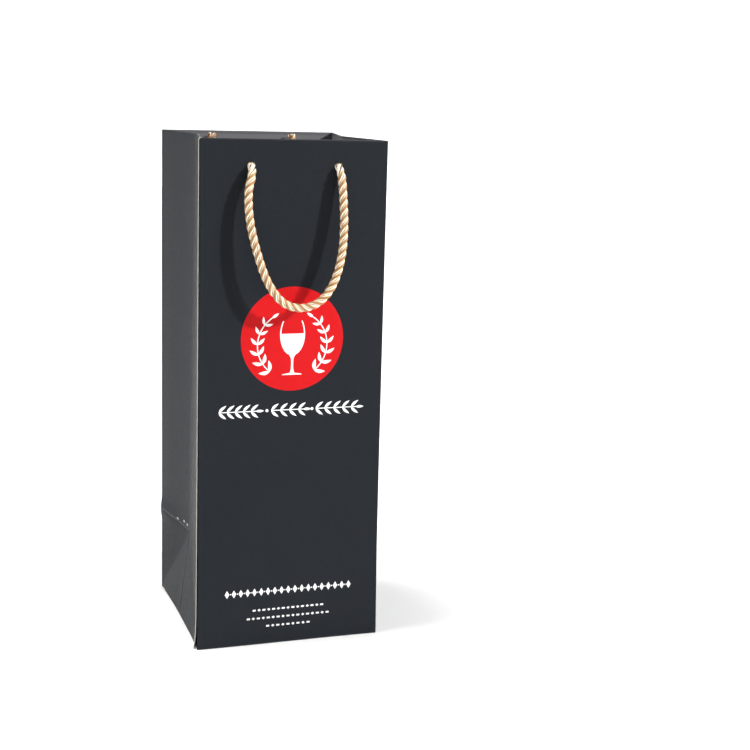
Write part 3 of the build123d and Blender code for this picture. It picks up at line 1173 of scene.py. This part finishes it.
def wearAndFoldHighlightMask(shader, u, v):
    worn = shader.noise(shader.scaled(shader.uv(), (260, 260, 1)), 1.0, 4, 0.65)
    broken = shader.range(worn, 0.36, 0.60, 0.15, 1.0)
    toMiddle = shader.math("ABSOLUTE", shader.math("SUBTRACT", u, halfD))
    diagonal = lineMask(shader, shader.plus(toMiddle, v), halfD, wearAndFoldHighlight["crease"])
    onRearHalf = shader.math("GREATER_THAN", u, halfD + 3 * mm)
    across = shader.times(lineMask(shader, v, halfD, wearAndFoldHighlight["crease"]), onRearHalf)
    total = shader.plus(shader.times(diagonal, wearAndFoldHighlight["diagonal"]), shader.times(across, wearAndFoldHighlight["across"]))
    total = shader.times(total, broken)
    for middle, size in wearAndFoldHighlight["flecks"]:
        total = shader.plus(total, shader.times(fleckMask(shader, u, v, middle, size), wearAndFoldHighlight["fleck"]))
    total = shader.times(total, shader.math("LESS_THAN", u, bagDepth))
    cut = shader.range(u, sheet["seamBack"] + 0.3 * mm, sheet["seamBack"] + 1.0 * mm, wearAndFoldHighlight["cut"], 0.0)
    # painted highlight, with some wear, along the rim fold and the fold at the foot
    rim = shader.times(lineMask(shader, v, bagHeight + 0.6 * mm, 0.9 * mm), wearAndFoldHighlight["rim"])
    foot = shader.times(lineMask(shader, v, 0.5 * mm, 0.8 * mm), wearAndFoldHighlight["rim"])
    return shader.plus(shader.plus(total, cut), shader.plus(rim, foot), clamp=True)


# uncoated paper: faint fibres in two sizes
def uncoated(name, dark, light):
    shader = Shader(name)
    fibre = shader.noise(shader.scaled(shader.place(), (1, 1, 0.35)), 2600, 4, 0.6)
    blotch = shader.noise(shader.place(), 60, 2)
    colour = shader.mix(fibre, dark, light)
    colour = shader.mix(shader.range(blotch, 0.3, 0.7, 0.0, 0.15), colour, dark)
    return shader.finish(colour, 0.78, shader.bump(fibre, 0.35, 0.0001))


# grey board: pulp flecks
def pulpBoard(name, base, fleck):
    shader = Shader(name)
    pulp = shader.noise(shader.place(), 700, 4, 0.65)
    flecks = shader.noise(shader.place(), 1900, 2, 0.5)
    colour = shader.mix(pulp, [0.86 * c for c in base], base)
    colour = shader.mix(shader.range(flecks, 0.62, 0.74, 0.0, 0.8), colour, fleck)
    return shader.finish(colour, 0.85, shader.bump(pulp, 0.35, 0.0002))


ropeLook = {
    "bands": [  # from deep in a groove to the top of a strand: painted shade in the groove, painted highlight cream on the flanks, painted shade brown on the crown
        (0.60, (0.05, 0.014, 0.003)),
        (0.695, (0.40, 0.18, 0.05)),
        (0.755, (0.96, 0.88, 0.70)),
        (0.885, (0.97, 0.89, 0.72)),
        (0.930, (0.54, 0.30, 0.105)),
        (1.00, (0.28, 0.115, 0.025)),
    ],
    # pale streaks along the yarns: painted highlights
    "paleStreak": (0.96, 0.87, 0.68),
    "darkStreak": (0.34, 0.15, 0.04),
}


# satin rope with light and shade painted into its colour: painted shade dark in the grooves, painted
# highlight cream on the flanks, painted shade brown on the crowns, pale painted highlights and darker
# streaks along its yarns
def ropeSatin():
    shader = Shader("gold_rope")
    crown = shader.attribute("crown")
    streak = shader.noise(shader.scaled(shader.uv(), (26, 1.6, 1)), 1.0, 4, 0.62)
    fine = shader.noise(shader.scaled(shader.uv(), (90, 4, 1)), 1.0, 2, 0.5)
    # painted shade in the grooves and on the crowns, painted highlight on the flanks
    colour = shader.ramp(crown, ropeLook["bands"])
    # pale streaks: painted highlights along the yarns
    colour = shader.mix(shader.range(streak, 0.50, 0.72, 0.0, 0.32), colour, ropeLook["paleStreak"])
    colour = shader.mix(shader.range(fine, 0.52, 0.78, 0.0, 0.26), colour, ropeLook["darkStreak"])
    normal = shader.bump(streak, 0.6, 0.00025)
    normal = shader.bump(fine, 0.4, 0.0001, normal)
    roughness = shader.range(fine, 0.3, 0.7, 0.30, 0.42)
    return shader.finish(colour, roughness, normal, **{
        "Sheen Weight": 0.55,
        "Sheen Roughness": 0.35,
        "Sheen Tint": (1.0, 0.90, 0.70, 1.0),
        "Anisotropic": 0.4,
    })


# ink under the film: even colour with the film's grain and a faint mottle
def printedInk(name, base, dark):
    shader = Shader(name)
    grain = shader.noise(shader.place(), 2200, 2)
    mottle = shader.noise(shader.place(), 130, 3)
    colour = shader.mix(shader.range(mottle, 0.35, 0.7, 0.0, 0.35), base, dark)
    roughness = shader.range(grain, 0.3, 0.7, 0.37, 0.45)
    normal = shader.bump(grain, 0.10, 0.00008)
    return shader.finish(colour, roughness, normal, **{"Specular IOR Level": 0.10})


print("materials")
film = laminatedFilm()
inside = uncoated("white_inside", (0.74, 0.73, 0.70), (0.84, 0.83, 0.81))
rawEdge = uncoated("raw_paper", (0.76, 0.71, 0.59), (0.93, 0.89, 0.79))
cardPulp = pulpBoard("stiffener_card", (0.62, 0.60, 0.55), (0.40, 0.37, 0.33))
boardPulp = pulpBoard("base_board", (0.46, 0.45, 0.42), (0.26, 0.25, 0.23))
satin = ropeSatin()
redInk = printedInk("red_print", (0.52, 0.0065, 0.0085), (0.46, 0.005, 0.007))
whiteInk = printedInk("white_print", (0.88, 0.88, 0.87), (0.80, 0.80, 0.80))

for made in [frontRope, rearRope, *knots.values()]:
    made.data.materials.append(satin)
for made in [paperSheet, *flapPieces]:
    for index, material in enumerate((film, inside, rawEdge)):
        made.data.materials[index] = material
for made in cardPieces:
    made.data.materials.append(cardPulp)
discPiece.data.materials.append(redInk)
for made in whitePieces:
    made.data.materials.append(whiteInk)
board = bpy.data.objects["base_board"]
board.data.materials.clear()
board.data.materials.append(boardPulp)

halves = [
    f"{side}_{part}_{end}_half"
    for side in ("left", "right")
    for part in ("gusset", "hem")
    for end in ("front", "rear")
]
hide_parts("front_panel", "rear_panel", "glue_tab", "front_hem", "rear_hem", *halves)
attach(paperSheet, "bag")
